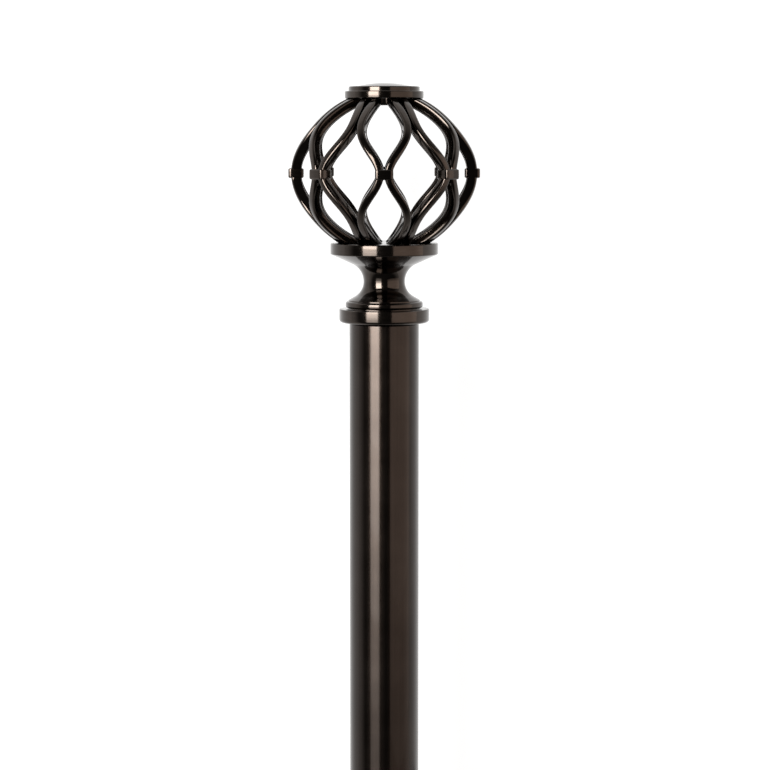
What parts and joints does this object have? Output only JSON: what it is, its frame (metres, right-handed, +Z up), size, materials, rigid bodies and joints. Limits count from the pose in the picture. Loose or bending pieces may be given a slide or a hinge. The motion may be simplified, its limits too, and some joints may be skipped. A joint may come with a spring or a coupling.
{
  "type": "curtain rod with brackets",
  "caption": "Telescoping round curtain rod with openwork cage finials, held off a wall by two adjustable cradle brackets.",
  "frame": {"origin": "centre of the rectangle of the four wall screw holes, on the wall face of the two plates", "axes": "+X along the rod towards the sliding tube, +Y into the wall, +Z up"},
  "size_m": [0.9844, 0.1247, 0.0902],
  "materials": {
    "tube_bronze": "satin dark bronze lacquer on steel tube",
    "finial_bronze": "gloss dark bronze lacquer on cast and turned metal",
    "bracket_bronze": "satin dark bronze lacquer",
    "screw_bronze": "satin dark bronze lacquer",
    "steel": "zinc-plated steel stud",
    "insert_zinc": "die-cast zinc insert",
    "guide_plastic": "natural nylon guide"
  },
  "bodies": {
    "wall_plates": {"left_wall_plate": "bracket_bronze", "right_wall_plate": "bracket_bronze"},
    "left_arm": {"left_arm": "bracket_bronze", "left_cradle": "bracket_bronze", "left_cradle_screw": "screw_bronze"},
    "right_arm": {"right_arm": "bracket_bronze", "right_cradle": "bracket_bronze", "right_cradle_screw": "screw_bronze"},
    "left_arm_screw": {"left_arm_screw": "screw_bronze"},
    "right_arm_screw": {"right_arm_screw": "screw_bronze"},
    "left_rod_screw": {"left_rod_screw": "screw_bronze"},
    "right_rod_screw": {"right_rod_screw": "screw_bronze"},
    "outer_tube": {"outer_tube": "tube_bronze", "left_end_insert": "insert_zinc"},
    "inner_tube": {"inner_tube": "tube_bronze", "inner_guide_plug": "guide_plastic", "right_end_insert": "insert_zinc"},
    "left_finial": {"left_stud": "steel", "left_collar": "finial_bronze", "left_neck": "finial_bronze", "left_top_hub": "finial_bronze", "left_cap": "finial_bronze", "left_clips": "finial_bronze", "left_rib_pair_1": "finial_bronze", "left_rib_pair_2": "finial_bronze", "left_rib_pair_3": "finial_bronze", "left_rib_pair_4": "finial_bronze", "left_rib_pair_5": "finial_bronze", "left_rib_pair_6": "finial_bronze", "left_rib_pair_7": "finial_bronze", "left_rib_pair_8": "finial_bronze"},
    "right_finial": {"right_stud": "steel", "right_collar": "finial_bronze", "right_neck": "finial_bronze", "right_top_hub": "finial_bronze", "right_cap": "finial_bronze", "right_clips": "finial_bronze", "right_rib_pair_1": "finial_bronze", "right_rib_pair_2": "finial_bronze", "right_rib_pair_3": "finial_bronze", "right_rib_pair_4": "finial_bronze", "right_rib_pair_5": "finial_bronze", "right_rib_pair_6": "finial_bronze", "right_rib_pair_7": "finial_bronze", "right_rib_pair_8": "finial_bronze"}
  },
  "joints": [
    {"name": "left_projection", "type": "slide", "parent": "wall_plates", "child": "left_arm", "axis": [0, -1, 0], "range_m": [-0.01, 0.02]},
    {"name": "right_projection", "type": "slide", "parent": "wall_plates", "child": "right_arm", "axis": [0, -1, 0], "range_m": [-0.01, 0.02]},
    {"name": "rod_lift", "type": "slide", "parent": "left_arm", "child": "outer_tube", "axis": [0, 0, 1], "range_m": [0, 0.06]},
    {"name": "rod_extend", "type": "slide", "parent": "outer_tube", "child": "inner_tube", "axis": [1, 0, 0], "range_m": [-0.098, 0.408]},
    {"name": "left_finial_turn", "type": "hinge", "parent": "outer_tube", "child": "left_finial", "pos_m": [-0.3555, -0.09, 0.0245], "axis": [-1, 0, 0], "range_deg": [0, 1080]},
    {"name": "right_finial_turn", "type": "hinge", "parent": "inner_tube", "child": "right_finial", "pos_m": [0.4555, -0.09, 0.0245], "axis": [1, 0, 0], "range_deg": [0, 1080]},
    {"name": "left_arm_screw_turn", "type": "hinge", "parent": "wall_plates", "child": "left_arm_screw", "pos_m": [-0.1555, -0.03, -0.0061], "axis": [0, 0, -1], "range_deg": [0, 720]},
    {"name": "left_rod_screw_turn", "type": "hinge", "parent": "left_arm", "child": "left_rod_screw", "pos_m": [-0.1555, -0.1028, 0.0245], "axis": [0, -1, 0], "range_deg": [0, 720]},
    {"name": "right_arm_screw_turn", "type": "hinge", "parent": "wall_plates", "child": "right_arm_screw", "pos_m": [0.1555, -0.03, -0.0061], "axis": [0, 0, -1], "range_deg": [0, 720]},
    {"name": "right_rod_screw_turn", "type": "hinge", "parent": "right_arm", "child": "right_rod_screw", "pos_m": [0.1555, -0.1028, 0.0245], "axis": [0, -1, 0], "range_deg": [0, 720]}
  ],
  "couplings": [
    {"joint": "right_projection", "follows": "left_projection", "ratio": 1}
  ]
}
